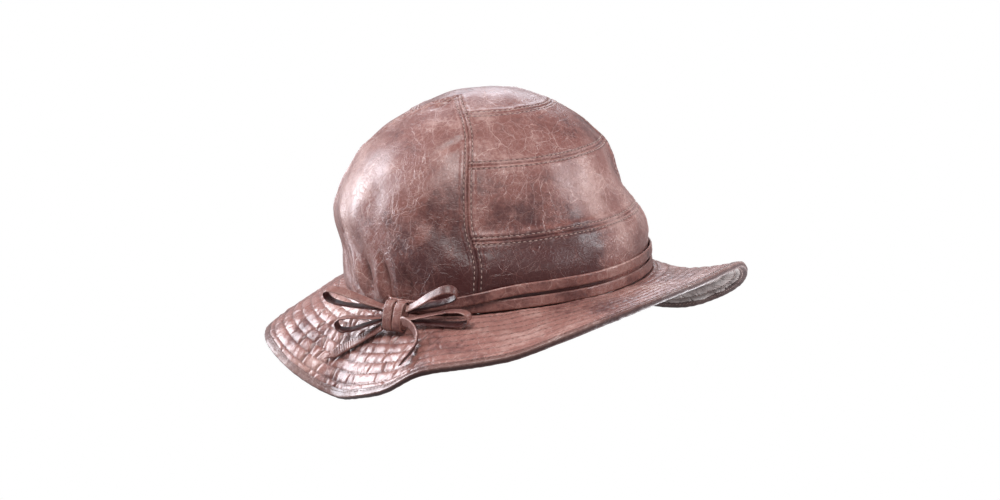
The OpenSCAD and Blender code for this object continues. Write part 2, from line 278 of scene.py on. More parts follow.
def lengths(p, axis):
    steps = np.linalg.norm(np.diff(p, axis=axis), axis=-1)
    total = np.cumsum(steps, axis=axis)
    return np.concatenate([np.zeros_like(total.take([0], axis=axis)), total], axis=axis)


def makeMesh(name, verts, faces, marks=None):
    mesh = bpy.data.meshes.new(name)
    faces = faces.tolist() if isinstance(faces, np.ndarray) else faces
    mesh.from_pydata((np.asarray(verts) * 0.001).tolist(), [], faces)
    for key, values in (marks or {}).items():
        layer = mesh.attributes.new(key, "FLOAT", "POINT")
        layer.data.foreach_set("value", np.asarray(values, np.float32).ravel())
    mesh.polygons.foreach_set("use_smooth", [True] * len(mesh.polygons))
    mesh.update()
    obj = bpy.data.objects.new(name, mesh)
    scene.collection.objects.link(obj)
    return obj


def gridFaces(rows, cols, closed, start=0, flip=False):
    i, j = np.meshgrid(np.arange(rows - 1), np.arange(cols if closed else cols - 1), indexing="ij")
    k = (j + 1) % cols
    quads = np.stack([i * cols + j, i * cols + k, (i + 1) * cols + k, (i + 1) * cols + j], -1)
    quads = quads.reshape(-1, 4) + start
    return quads[:, ::-1] if flip else quads


# a thick skin from an outer and an inner grid; columns run so that the outer face looks outwards
def skin(name, outer, inner=None, closed=False, marks=None):
    rows, cols = outer.shape[:2]
    n = rows * cols
    if inner is None:
        return makeMesh(name, outer.reshape(-1, 3), gridFaces(rows, cols, closed), marks)
    faces = [gridFaces(rows, cols, closed), gridFaces(rows, cols, closed, n, True)]
    ring = np.arange(cols if closed else cols - 1)
    nxt = (ring + 1) % cols
    last = (rows - 1) * cols
    faces.append(np.stack([ring, n + ring, n + nxt, nxt], -1))
    faces.append(np.stack([last + ring, last + nxt, n + last + nxt, n + last + ring], -1))
    if not closed:
        row = np.arange(rows - 1) * cols
        faces.append(np.stack([row, row + cols, n + row + cols, n + row], -1))
        row = row + cols - 1
        faces.append(np.stack([row, n + row, n + row + cols, row + cols], -1))
    both = {k: np.concatenate([np.ravel(v), np.ravel(v)]) for k, v in (marks or {}).items()}
    verts = np.concatenate([outer.reshape(-1, 3), inner.reshape(-1, 3)])
    return makeMesh(name, verts, np.concatenate(faces), both)


# stitches: (start, end, normal) of every one, kept per group and made into a few pieces later
threads = {}


def sewLine(group, points, normals, pitch=3.2, share=0.68, lift=0.0):
    run = lengths(points, 0)
    total = run[-1]
    count = int(total / pitch)
    if count < 1:
        return
    starts = (np.arange(count) + 0.5) * total / count - pitch * share / 2
    starts = starts + seeds.normal(0, 0.09, count)

    def at(s, values):
        return np.stack([np.interp(s, run, values[:, k]) for k in range(3)], -1)

    up = unit(at(starts + pitch * share / 2, normals))
    along = unit(at(starts + pitch, points) - at(starts, points))
    sway = np.cross(up, along) * seeds.normal(0, 0.1, (count, 1))
    threads.setdefault(group, []).append(
        (at(starts, points) + up * lift + sway, at(starts + pitch * share, points) + up * lift - sway, up))


def threadPiece(name, groups, radius=0.25, sides=6, rings=5):
    a, b, up = (np.concatenate([part[k] for g in groups for part in threads[g]]) for k in range(3))
    n = len(a)
    s = np.linspace(0, 1, rings)
    along = unit(b - a)
    side = np.cross(along, up)
    middle = a[:, None] + (b - a)[:, None] * s[None, :, None]
    middle = middle + up[:, None] * (0.34 * np.sin(math.pi * s) - 0.16)[None, :, None]
    size = radius * (0.55 + 0.45 * np.sin(math.pi * s)) * seeds.uniform(0.9, 1.1, (n, 1))
    q = np.linspace(0, 2 * math.pi, sides, endpoint=False)
    ring = side[:, None] * np.cos(q)[None, :, None] + up[:, None] * np.sin(q)[None, :, None]
    verts = middle[:, :, None] + size[:, :, None, None] * ring[:, None]
    one = gridFaces(rings, sides, True)
    faces = (one[None] + (np.arange(n) * rings * sides)[:, None, None]).reshape(-1, 4)
    tone = np.repeat(seeds.uniform(0, 1, n), rings * sides)
    return makeMesh(name, verts.reshape(-1, 3), faces, {"tone": tone})


# the line of points on a grid where the distance from one border has a given value
def rowLine(p, normals, distance, value, axis):
    count = p.shape[0] if axis == 1 else p.shape[1]
    points, ups = [], []
    for k in range(count):
        d = distance[k] if axis == 1 else distance[:, k]
        line, up = (p[k], normals[k]) if axis == 1 else (p[:, k], normals[:, k])
        if d.max() < value * 1.6:
            continue
        order = np.argsort(d)
        points.append([np.interp(value, d[order], line[order, m]) for m in range(3)])
        ups.append([np.interp(value, d[order], up[order, m]) for m in range(3)])
    return np.array(points), unit(np.array(ups))


# places from -1 to 1, close together near both ends
def bothEnds(dense, edge, middle):
    left = np.linspace(-1, -1 + edge, dense)
    return np.concatenate([left[:-1], np.linspace(-1 + edge, 1 - edge, middle), -left[::-1][1:]])


# the sewn edges of a crown panel, in millimetres
seamStyle = {
    "groove": 0.12, "grooveWidth": 0.34, "ridge": 0.44, "channel": 0.34, "channelWidth": 0.42, "row": 2.1,
    "pucker": 0.13, "puckerReach": 7.0, "hemRoll": 0.55, "thread": 0.28,
}


# a crown panel with seam ridges and stitch channels; seams are the borders that are sewn to a neighbour
def leatherPanel(name, grid, seams, rolledHem=False):
    grid = settle(grid)
    normals = gridNormals(grid)
    foot = lengths(grid, 0)
    head = foot[-1:] - foot
    left = lengths(grid, 1)
    right = left[:, -1:] - left
    borders = {"foot": foot, "head": head, "left": left, "right": right}
    swell = crownSwell(grid)
    relief = np.zeros(grid.shape[:2])
    paintedShade = np.zeros(grid.shape[:2])
    wearAndHighlight = np.zeros(grid.shape[:2])
    for b in seams:
        d = borders[b]
        full = 1.0 if b in ("left", "right") else 0.85
        fromRow = (d - seamStyle["row"]) / seamStyle["channelWidth"]
        relief += -seamStyle["groove"] * np.exp(-((d / seamStyle["grooveWidth"]) ** 2))
        relief += full * seamStyle["ridge"] * smooth(0.3, 1.1, d) * (1 - smooth(4.0, 5.2, d))
        relief += -seamStyle["channel"] * np.exp(-(fromRow**2))
        # painted shade: darker in the seam groove and along the stitch channel
        paintedShade = np.maximum(paintedShade, 0.08 * np.exp(-((d / 0.2) ** 2)))
        paintedShade = np.maximum(paintedShade, 0.85 * np.exp(-(fromRow**2)))
        wearAndHighlight = np.maximum(wearAndHighlight, smooth(0.5, 1.2, d) * (1 - smooth(1.2, 2.0, d)))
        wearAndHighlight = np.maximum(wearAndHighlight, 0.7 * smooth(3.4, 4.4, d) * (1 - smooth(4.5, 5.6, d)))
    pucker = sum(np.exp(-((borders[b] / seamStyle["puckerReach"]) ** 2)) for b in seams)
    relief = relief + seamStyle["pucker"] * np.clip(pucker, 0, 1) * ripple(grid, smallWaves)
    wearAndHighlight = np.clip(wearAndHighlight + 0.5 * np.clip(ripple(grid, middleWaves), 0, 1), 0, 1)
    # painted shade also in the deepest hollows of the folds
    paintedShade = np.clip(paintedShade + np.clip(-swell - 0.9, 0, 1.6) * 0.35, 0, 1)
    outer = grid + normals * (swell + relief)[..., None]
    if rolledHem:
        hemRoll = np.exp(-((foot / 1.1) ** 2))
        outer = outer - normals * (seamStyle["hemRoll"] * hemRoll)[..., None]
    inner = grid + normals * (swell - hat["leather"])[..., None]
    inner[..., 2] = np.maximum(inner[..., 2], -4)
    obj = skin(name + "_leather", outer, inner, marks={"paintedShade": paintedShade, "wearAndHighlight": wearAndHighlight})
    shown = gridNormals(outer)
    for b in seams:
        axis = 1 if b in ("left", "right") else 0
        points, ups = rowLine(outer, shown, borders[b], seamStyle["row"], axis)
        if len(points) > 3:
            sewLine("crown", points, ups)
    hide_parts(name)
    return obj, grid


def gridArea(grid):
    a, b = grid[1:, 1:] - grid[:-1, :-1], grid[1:, :-1] - grid[:-1, 1:]
    return float(np.linalg.norm(np.cross(a, b), axis=-1).sum() / 2)


# prints a sheet's flat size, from the smooth shape before seams and folds
def declare(obj, grid):
    area = gridArea(grid) * 1e-6
    tall = float(lengths(grid, 0)[-1].max()) * 0.001
    wide = float(lengths(grid, 1)[:, -1].max()) * 0.001
    tall, wide = max(tall, 0.0101), max(wide, 0.0101)
    area = min(area, tall * wide)
    print(f"sheet {obj.name}: flat {wide:.3f} x {tall:.3f} m, area {area:.4f} m2")


# crown
detail = 1.0
u = np.linspace(0, hat["sideTip"] - 0.9, int(110 * detail))
c = bothEnds(int(17 * detail) + 2, 0.085, int(92 * detail))
cc, uu = np.meshgrid(c * (1 - 0.03 / 70), u)
panels = {}
for name, middle in (("side_panel_right", 180), ("side_panel_left", 0)):
    panels[name] = leatherPanel(name, sidePoint(middle, uu, cc), ("left", "right"), True)

lowSeam, midSeam, topSeam = (seamShare(hat[key]) for key in ("seamLow", "seamMid", "seamTop"))
allRound = ("left", "right", "foot", "head")
strips = {
    "crown_top_strip": (-hat["topShare"], hat["topShare"], allRound),
    "front_strip_upper": (-midSeam, -topSeam, allRound),
    "front_strip_middle": (-lowSeam, -midSeam, allRound),
    "front_strip_lower": (-1.0, -lowSeam, ("left", "right", "head")),
    "back_strip_upper": (topSeam, midSeam, allRound),
    "back_strip_middle": (midSeam, lowSeam, allRound),
    "back_strip_lower": (lowSeam, 1.0, ("left", "right", "foot")),
}
for name, (first, last, seams) in strips.items():
    rows, ends = (60, 0.08) if name == "crown_top_strip" else (20, 0.16)
    v = (bothEnds(int(14 * detail) + 2, ends, int(rows * detail)) + 1) / 2 * (last - first) * 0.997 + first
    c = bothEnds(int(17 * detail) + 2, 0.12, int(84 * detail))
    cc, vv = np.meshgrid(c * (1 - 0.03 / 70), v)
    panels[name] = leatherPanel(name, centrePoint(vv, cc), seams, name == "front_strip_lower")
crownThread = threadPiece("crown_stitches", ["crown"], radius=seamStyle["thread"])
print("crown ready", len(crownThread.data.polygons), flush=True)

# brim
brimStyle = {"first": 4.5, "pitch": 6.8, "rows": 8, "puff": 0.72, "crease": 1.0}
rowPlaces = [brimStyle["first"] + brimStyle["pitch"] * k for k in range(brimStyle["rows"])]


# how far the stitched leather swells between its rows, and the painted shade in its folds and along its rows
def brimRelief(a, t, strength):
    d = t * hat["brimWidth"]
    band = np.searchsorted(rowPlaces, d)
    edges = np.array([0.0] + rowPlaces + [hat["brimWidth"] - 3.0, hat["brimWidth"] + 3])
    start, end = edges[band], edges[np.minimum(band + 1, len(edges) - 1)]
    inside = np.clip((d - start) / np.maximum(end - start, 0.1), 0, 1)
    puff = np.sin(math.pi * inside) ** 0.55
    folds = np.zeros_like(d)
    crease = np.zeros_like(d)
    lift = np.zeros_like(d)
    for k in range(len(edges) - 1):
        here = band == k
        if not here.any():
            continue
        r = crownRadius + (edges[k] + edges[k + 1]) / 2
        place, places = 0.0, []
        while place < 360:
            near = float(strength(place))
            gap = (4.5 + 9.0 * seeds.random() ** 1.5) * (2.0 - 0.9 * near)
            place += gap / r * 57.3
            deep = near * seeds.uniform(0.08, 1.0) ** 1.3
            width = seeds.uniform(0.5, 1.5)
            places.append((place, deep, width, seeds.uniform(-3.4, 3.4)))
        for p, deep, width, slant in places:
            dx = turn(a[here], p) / 57.3 * (crownRadius + d[here]) + slant * (inside[here] - 0.5)
            close = np.abs(dx) < 6
            one = np.exp(-((dx[close] / width) ** 2)) * deep
            side = np.exp(-(((np.abs(dx[close]) - 2.0) / 1.3) ** 2)) * deep
            flat = np.flatnonzero(here.ravel())[close]
            folds.ravel()[flat] -= one
            crease.ravel()[flat] = np.maximum(crease.ravel()[flat], one)
            lift.ravel()[flat] += 0.28 * side
    height = puff * (brimStyle["puff"] + lift) + brimStyle["crease"] * folds * (0.3 + 0.7 * puff)
    row = np.min(np.abs(d[..., None] - np.array(rowPlaces + [hat["brimWidth"] - 3.0])), -1)
    # painted shade along the stitch rows and in the creases
    paintedShade = np.maximum(np.exp(-((row / 0.5) ** 2)) * 0.42, np.clip(crease, 0, 1) ** 1.6 * 0.72)
    return height, paintedShade, puff


def brimStrength(a):
    first = smooth(112, 135, a) * (1 - smooth(205, 222, a))
    second = smooth(286, 300, a) * (1 - smooth(345, 362, a))
    third = smooth(20, 40, a) * (1 - smooth(80, 100, a))
    return 0.22 + 0.78 * np.clip(first + 0.6 * second + 0.45 * third, 0, 1)


def stiffStrength(a):
    second = smooth(280, 296, a) * (1 - smooth(345, 362, a))
    return 0.35 + 0.65 * np.clip(second + 0.4 * smooth(120, 160, a) * (1 - smooth(220, 260, a)), 0, 1)


def brimFace(name, depth, upward, cols, rows, strength, group, node):
    a1 = np.arange(cols) * 360 / cols
    edgeShare = 1 - 1.2 / hat["brimWidth"]
    t1 = np.linspace(-0.034, edgeShare, rows)
    a, t = np.meshgrid(a1, t1)
    base = brimPoint(a, t, depth)
    normals = gridNormals(base, True)
    normals = normals * np.sign(normals[..., 2:3])
    sign = 1 if upward else -1
    height, paintedShade, puff = brimRelief(a, t, strength)
    height = height * smooth(-0.01, 0.05, t) * (1 - 0.5 * smooth(0.9, 1.0, t))
    height = height + 0.10 * ripple(base, smallWaves) + 0.25 * ripple(base, middleWaves)
    top = base + normals * (sign * (height - 0.1))[..., None]
    # lighter on the tops of the puffs and in random patches
    wearAndHighlight = np.clip(puff ** 3 * 0.5 + 0.4 * ripple(base, middleWaves), 0, 1)
    way = -1 if upward else 1  # the rows run so that the face looks outwards
    obj = skin(name, top[::way], closed=True, marks={"paintedShade": paintedShade[::way], "wearAndHighlight": wearAndHighlight[::way]})
    for place in rowPlaces:
        share = place / hat["brimWidth"]
        k = (share - t1[0]) / (t1[1] - t1[0])
        lo = int(k)
        points = top[lo] * (1 - (k - lo)) + top[lo + 1] * (k - lo)
        points = np.concatenate([points, points[:1]])
        ups = np.concatenate([normals[lo], normals[lo][:1]]) * sign
        sewLine(group, points, ups, lift=-0.02)
    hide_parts(node)
    a2, t2 = np.meshgrid(np.arange(361), np.linspace(0, 1, 30))
    return obj, brimPoint(a2, t2, depth)


upper, upperFlat = brimFace("brim_upper_leather", 0, True, int(1500 * detail), int(116 * detail),
                            brimStrength, "brimTop", "brim_upper")
under, underFlat = brimFace("brim_under_leather", brimDepth, False, int(1200 * detail), int(92 * detail),
                            stiffStrength, "brimUnder", "brim_under")
a, t = np.meshgrid(np.arange(0, 360, 1.5), np.linspace(-0.02, 0.985, 24))
clear = 0.95  # from each leather face
stiffFaces = [brimPoint(a, t, depth)[::-1] for depth in (clear, brimDepth - clear)]
stiff = skin("brim_stiffening", *stiffFaces, closed=True)
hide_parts("brim_interlining")

# binding, rounded over the edge
q = np.linspace(-90, 90, 9)
profile = [(-4.0, -0.42), (-3.4, -0.62), (-2.5, -0.5), (-1.4, -0.66)]
profile += [(0.2 + 0.62 * cosd(x), brimDepth / 2 + (brimDepth / 2 + 0.62) * sind(x)) for x in q]
profile += [(-step, brimDepth + up) for step, up in ((1.4, 0.66), (2.5, 0.5), (3.4, 0.62), (4.0, 0.42))]
a1 = np.arange(int(1100 * detail)) * 360 / int(1100 * detail)
wobble = 0.16 * np.sin(np.radians(a1) * 61) * np.sin(np.radians(a1) * 7) + 0.1 * np.sin(np.radians(a1) * 23)
bindGrid = np.array([brimPoint(a1, 1 + (step + (wobble if step < -3 else 0)) / hat["brimWidth"], depth)
                     for step, depth in profile])[::-1]
bulk = gridNormals(bindGrid, True) * (0.09 * ripple(bindGrid, smallWaves))[..., None]
# painted shade on the binding's lower side and where it meets the brim, painted highlight on its rounded top
# edge and along one thin line; one value for each point of the profile
bindShade = [0.7, 0.1, 0.1, 0.0, 0.0, 0.0, 0.05, 0.5, 0.95, 0.95, 0.35, 0.9, 0.95, 0.6, 0.4, 0.4, 0.8]
bindHighlight = [0.2, 0.5, 0.5, 0.8, 1.0, 1.0, 0.9, 0.2, 0.0, 0.0, 0.8, 0.0, 0.0, 0.2, 0.3, 0.3, 0.2]
binding = skin("brim_binding_leather", bindGrid + bulk, closed=True,
               marks={"paintedShade": np.array(bindShade)[::-1][:, None] + 0 * a1[None],
                      "wearAndHighlight": np.array(bindHighlight)[::-1][:, None] + 0 * a1[None]})
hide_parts("brim_binding")
for step, depth, sign in ((-2.5, -0.55, 1), (-2.5, brimDepth + 0.55, -1)):
    a2 = np.arange(1441) / 4
    line = brimPoint(a2, 1 + step / hat["brimWidth"], depth)
    up = unit(brimPoint(a2, 1 + step / hat["brimWidth"], depth - 1) - line) * sign
    sewLine("brimTop" if sign > 0 else "brimUnder", line, up)
topThread = threadPiece("brim_stitches_upper", ["brimTop"], radius=0.2)
underThread = threadPiece("brim_stitches_under", ["brimUnder"], radius=0.22)
print("brim ready", len(upper.data.polygons), len(topThread.data.polygons), flush=True)


# straps: a rounded section swept along a line, with the fold line along its outer face
def strapSection(width, thick, count=9):
    w, t = width / 2, thick / 2
    outer = [(x * w, t * (1 - 0.85 * abs(x) ** 6) + 0.10 * math.exp(-(((abs(x) - 0.78) / 0.09) ** 2)))
             for x in np.linspace(-1, 1, count * 2 + 1)]
    inner = [(x * w, -t * (1 - 0.85 * abs(x) ** 6)) for x in np.linspace(1, -1, count + 1)]
    return np.array(outer + inner)


def sweep(name, path, wide, face, width, thick, closed=False, widths=None, node=None):
    section = strapSection(width, thick)
    path, wide, face = (np.asarray(x, float) for x in (path, wide, face))
    widths = np.ones(len(path)) if widths is None else widths
    # rows of the grid follow the section and columns the path
    points = (path[None] + wide[None] * (section[:, 0][:, None] * widths[None])[..., None]
              + face[None] * (section[:, 1][:, None] * np.minimum(widths[None] + 0.25, 1))[..., None])
    points = points + unit(face)[None] * (0.10 * ripple(points, smallWaves))[..., None]
    share = np.abs(section[:, 0]) / (width / 2)
    # lighter towards both edges of the strap
    wearAndHighlight = np.clip((share - 0.72) * 4.5, 0, 1)[:, None] + 0 * widths[None]
    # the inner face of every strap gets painted shade
    inside = (section[:, 1] < 0)[:, None] + 0 * widths[None]
    rows, cols = points.shape[:2]
    n = rows * cols
    faces = gridFaces(rows, cols, closed)
    seam = np.arange(cols if closed else cols - 1)
    nxt = (seam + 1) % cols
    last = (rows - 1) * cols
    faces = np.concatenate([faces, np.stack([last + seam, last + nxt, nxt, seam], -1)]).tolist()
    if not closed:
        faces.append((np.arange(rows) * cols).tolist()[::-1])
        faces.append((np.arange(rows) * cols + cols - 1).tolist())
    marks = {"paintedShade": 0.0 * points[..., 0], "wearAndHighlight": wearAndHighlight, "inside": inside}
    obj = makeMesh(name, points.reshape(-1, 3), faces, marks)
    if node:
        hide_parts(node)
    return obj


def nearBow(a):
    d = np.abs(turn(a, hat["bowAt"]))
    return np.where(d < 45, cosd(2 * np.minimum(d, 45)) ** 2, 0)


# the two straps round the crown: height and gap away from the bow, height and gap at the bow, and tilt
bandStyles = {"band_lower": (0.9, 0.35, 0.9, 0.5, 6), "band_upper": (9.2, 0.35, 2.4, 2.3, 4)}
for name, (low, gap, lowBow, gapBow, leanBack) in bandStyles.items():
    a1 = np.arange(int(900 * detail)) * 360 / int(900 * detail)
    k = nearBow(a1)
    out = np.stack([cosd(a1), sind(a1), 0 * a1], -1)
    hidden = smooth(124, 134, a1) * (1 - smooth(183, 188, a1))
    z = low + (lowBow - low) * k + hat["strapWidth"] / 2 - dip(a1)
    z = z + 0.35 * np.sin(np.radians(a1 * 5 + 40)) * (1 - k)  # the strap lies a little unevenly
    r = crownRadius + gap + hat["strapThick"] / 2 + (gapBow - gap) * np.minimum(4 * k, 1) * (1 - hidden)
    r = r - hidden * 3.0
    path = out * r[:, None] + np.stack([0 * a1, 0 * a1, z], -1)
    tilt = np.radians(leanBack)
    wide = np.array([0, 0, 1.0])[None] * math.cos(tilt) - out * math.sin(tilt)
    face = out * math.cos(tilt) + np.array([0, 0, 1.0])[None] * math.sin(tilt)
    sweep(name + "_strap", path, wide, face, hat["strapWidth"], hat["strapThick"], closed=True, node=name)

# bow
bowOut = np.array([cosd(hat["bowAt"]), sind(hat["bowAt"]), 0.0])
bowSide = np.array([-bowOut[1], bowOut[0], 0.0])
knotMiddle = (crownRadius + 13.5) * bowOut + np.array([0, 0, -2.0])
knotFace = bowOut * cosd(20) + np.array([0, 0, sind(20)])
knotUp = np.array([0, 0, cosd(20)]) - bowOut * sind(20)


def knotEnd(side, h, d):
    return knotMiddle + side * 8 * bowSide + knotFace * d + knotUp * h


loopStyle = {"width": 5.8, "thick": 1.2}


def loopStrap(name, root, tip, opening, tilt, twist):
    root, tip = np.array(root, float), np.array(tip, float)
    along = unit(tip - root)
    flat = unit(bowOut - (bowOut @ along) * along)
    raw = np.cross(flat, along)
    up = raw * np.sign(raw[2])
    face = up * sind(tilt) + flat * cosd(tilt)
    wide = up * cosd(tilt) - flat * sind(tilt)
    length = np.linalg.norm(tip - root)
    q = np.linspace(16, 344, int(110 * detail))
    half = 0.6 * np.tanh((180 - q) / 22)
    path = (root + along * (length * (sind(q / 2) - sind(8)) / (1 - sind(8)))[:, None]
            + face * (opening / 2 * sind(q) * sind(q / 2) + half)[:, None])
    ahead = unit(np.gradient(path, axis=0))
    bend = twist * np.sin(np.radians(q))
    w = unit(wide + face * bend[:, None] * 0.3)
    w = unit(w - (w * ahead).sum(-1, keepdims=True) * ahead)
    out = np.cross(ahead, w)
    middle = path.mean(0)
    out = out * np.sign(((path - middle) * out).sum())
    pinch = 1 - 0.22 * np.exp(-(((np.minimum(q, 360 - q) - 16) / 22) ** 2))
    sweep(name + "_strap", path, w, out, loopStyle["width"], loopStyle["thick"], node=name, widths=pinch)


# each loop: where it leaves the knot, its tip, how far it opens, its tilt and its twist
loops = {
    "bow_loop_front_upper": ((1, 4.2, 0.3), (-90.5, -63.5, 15), 11, 45, 0.5),
    "bow_loop_front_lower": ((1, -1.6, -0.5), (-89, -72.5, 1), 9.5, 75, -0.5),
    "bow_loop_back_upper": ((-1, 3.6, 0.3), (-119, 21.5, 7.5), 11, 70, 0.6),
    "bow_loop_back_lower": ((-1, -2.2, 0.3), (-119.5, 12, -10.5), 9, 75, -0.6),
}
for name, (leaves, *rest) in loops.items():
    loopStrap(name, knotEnd(*leaves), *rest)

# knot: two wraps of strap pulled tight
knotStyle = {"shift": 3.6, "corner": 3.4, "halfDepth": 4.2, "halfHeight": 9.25, "width": 6.9, "thick": 1.5}
for name, shift in (("bow_knot_wrap_back", -knotStyle["shift"]), ("bow_knot_wrap_front", knotStyle["shift"])):
    q = np.arange(int(96 * detail)) * 360 / int(96 * detail)
    corner = knotStyle["corner"] - knotStyle["thick"] / 2
    dx, dy = knotStyle["halfDepth"] - knotStyle["corner"], knotStyle["halfHeight"] - knotStyle["corner"]
    x = np.sign(cosd(q)) * np.abs(cosd(q)) ** 0.8 * (dx + corner + 0.1)
    y = np.sign(sind(q)) * np.abs(sind(q)) ** 0.8 * (dy + corner - 0.1)
    path = knotMiddle + shift * bowSide + knotFace * x[:, None] + knotUp * y[:, None]
    path = path + bowSide * (0.5 * np.sign(shift) * sind(q) * 0.6)[:, None]
    ahead = unit(np.roll(path, -1, 0) - np.roll(path, 1, 0))
    wide = np.broadcast_to(bowSide, path.shape)
    out = np.cross(wide, ahead)
    out = out * np.sign(((path - path.mean(0)) * out).sum())
    pinch = 0.97 - 0.08 * np.abs(cosd(q))
    sweep(name, path, wide, out, knotStyle["width"], knotStyle["thick"], True, pinch, "bow_knot")

tails = {
    "bow_tail_back": {
        "path": [[-108.9, -18.2, -8.6], [-109.4, -14.5, -10.8], [-110.4, -9.5, -13.4], [-112, -3.5, -17],
                 [-114.3, 2.6, -20.6], [-117, 8, -24], [-119.5, 12, -26.5], [-122.5, 15.5, -29.2],
                 [-125.5, 18.5, -31.9]],
        "across": lambda i: [-0.6, -0.1, -0.8], "body": "tail_back", "tip": 9.0, "rib": 0.16},
    "bow_tail_front": {
        "path": [[-108.3, -35.9, -3.4], [-108.8, -38.8, -2.6], [-108.8, -43, -3.4], [-109.4, -47.6, -5.6],
                 [-111, -51.2, -8.4], [-114, -54.2, -11.1], [-118.6, -56.6, -13.6], [-124.4, -57.8, -16.4],
                 [-131, -57.8, -20.6]],
        "across": lambda i: [-0.2, -0.3 - 0.05 * i, 0.9 - 0.035 * i], "body": "tail_front", "tip": 5.0,
        "rib": 0.05},
}
for name, tail in tails.items():
    keys = np.array(tail["path"], float)
    run = lengths(keys, 0)
    s = np.linspace(0, run[-1], int(120 * detail))
    path = np.stack([np.interp(s, run, keys[:, k]) for k in range(3)], -1)
    for _ in range(int(10 * detail) + 4):  # round the corners between the points
        path[1:-1] = path[1:-1] * 0.5 + (path[:-2] + path[2:]) * 0.25
    acrossKeys = np.array([tail["across"](i) for i in range(len(keys))], float)
    w = np.stack([np.interp(s, run, acrossKeys[:, k]) for k in range(3)], -1)
    ahead = unit(np.gradient(path, axis=0))
    w = unit(w - (w * ahead).sum(-1, keepdims=True) * ahead)
    out = np.cross(ahead, w)
    outward = np.array([-0.7, -0.4, 0.6])
    out = out * np.sign((out @ outward).sum())
    left = run[-1] - s
    widths = 0.08 + 0.92 * smooth(0, tail["tip"], left) ** 0.7
    path = path + out * (tail["rib"] * np.sin(s * 2 * math.pi / 1.7) * smooth(0, 6, s))[:, None]
    path = path + w * (-0.35 * (1 - smooth(0, tail["tip"], left)) * 3.0)[:, None]
    piece = sweep(name + "_strap", path, w, out, hat["strapWidth"], hat["strapThick"], False, widths, name)
    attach(piece, tail["body"])
print("bow ready", flush=True)

# inside of the crown
liningDepth = 1.8
for name, middle in (("lining_right", 180), ("lining_left", 0)):
    cc, uu = np.meshgrid(np.linspace(-0.995, 0.995, 70), np.linspace(1.5, hat["sideTip"] - 1, 60))
    base = sidePoint(middle, uu, cc, liningDepth + 0.15)
    loose = np.clip(0.6 * ripple(base, middleWaves) - 0.5, -1.2, 0) * smooth(0, 8, lengths(base, 0))
    normals = gridNormals(base)
    swell = crownSwell(base)
    obj = skin(name + "_satin", base + normals * (np.minimum(swell, 0.6) + loose - 0.2)[..., None])
    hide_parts(name)
    panels[name] = (obj, base)
cc, vv = np.meshgrid(np.linspace(-0.995, 0.995, 60), np.linspace(-0.985, 0.985, 150))
base = centrePoint(vv, cc, liningDepth + 0.15)
loose = np.clip(0.6 * ripple(base, middleWaves) - 0.5, -1.2, 0)
normals = gridNormals(base)
swell = np.minimum(crownSwell(base), 0.6)
obj = skin("lining_centre_satin", base + normals * (swell + loose - 0.2)[..., None])
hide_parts("lining_centre")
panels["lining_centre"] = (obj, base)

# sweatband, with a sewn lower edge
a1 = np.arange(int(720 * detail)) * 360 / int(720 * detail)
head = hat["headRadius"]
bandProfile = [(0.95, 22), (0.75, 22.25), (0.3, 22.2), (0.06, 21.8), (0.05, 17), (0.06, 10), (0.05, 3),
               (0.06, -1.5), (0.1, -2.7), (0.5, -3.0), (0.9, -2.9), (1.0, -2), (0.95, 10), (0.95, 22)]
radii, heights = (np.array(values)[:, None] for values in zip(*[(head + r, z) for r, z in bandProfile]))
ring = np.stack([radii * cosd(a1), radii * sind(a1), heights + 0 * a1], -1)
# the sweatband is lighter along its top fold and its lower edge
sweat = skin("sweatband_leather", ring, closed=True,
             marks={"paintedShade": 0 * ring[..., 0], "wearAndHighlight": np.where(np.abs(ring[..., 2] - 9) > 12, 0.8, 0.2)})
welded = bmesh.new()
welded.from_mesh(sweat.data)
bmesh.ops.remove_doubles(welded, verts=welded.verts, dist=0.000001)  # closes the band along its top
welded.to_mesh(sweat.data)
welded.free()
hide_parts("sweatband")
for height in (-1.2, 19.6):
    a2 = np.arange(0, 361, 1.0)
    line = np.stack([(head + 0.04) * cosd(a2), (head + 0.04) * sind(a2), height + 0 * a2], -1)
    sewLine("sweat", line, -unit(line * np.array([1, 1, 0])), pitch=3.0)
sweatThread = threadPiece("sweatband_stitches", ["sweat"], radius=0.17)

# blank woven label on the lining at the back
labelStyle = {"from": 100, "to": 80, "low": 13, "high": 19, "depth": 3.7, "thick": 0.4}
aa, uu = np.meshgrid(np.linspace(labelStyle["from"], labelStyle["to"], 40),
                     np.linspace(labelStyle["low"], labelStyle["high"], 16))
sunk = unit(crownPoint(aa, uu)) * np.clip(crownSwell(crownPoint(aa, uu, 1.95)), -3, 0)[..., None]
labelFace = crownPoint(aa, uu, labelStyle["depth"] + labelStyle["thick"]) + sunk
label = skin("blank_label_woven", labelFace, crownPoint(aa, uu, labelStyle["depth"]) + sunk)
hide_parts("blank_label")
print("inside ready", flush=True)


# materials
def tree(name, groupSockets=None, outputs=None):
    if groupSockets is None:
        material = bpy.data.materials.new(name)
        material.use_nodes = True
        material.node_tree.nodes.clear()
        return material, material.node_tree
    group = bpy.data.node_groups.new(name, "ShaderNodeTree")
    for key, kind, value in groupSockets:
        socket = group.interface.new_socket(name=key, in_out="INPUT", socket_type="NodeSocket" + kind)
        if value is not None:
            socket.default_value = value
    for key, kind in outputs:
        group.interface.new_socket(name=key, in_out="OUTPUT", socket_type="NodeSocket" + kind)
    return group, group


def add(nodeTree, kind, links=(), **settings):
    node = nodeTree.nodes.new("ShaderNode" + kind if not kind.startswith("NodeGroup") else kind)
    for key, value in settings.items():
        setattr(node, key, value)
    for key, value in dict(links).items():
        if isinstance(value, bpy.types.NodeSocket):
            nodeTree.links.new(value, node.inputs[key])
        else:
            node.inputs[key].default_value = value
    return node


def calc(nodeTree, operation, a, b=0.0, clamp=False):
    return add(nodeTree, "Math", {0: a, 1: b}, operation=operation, use_clamp=clamp).outputs[0]


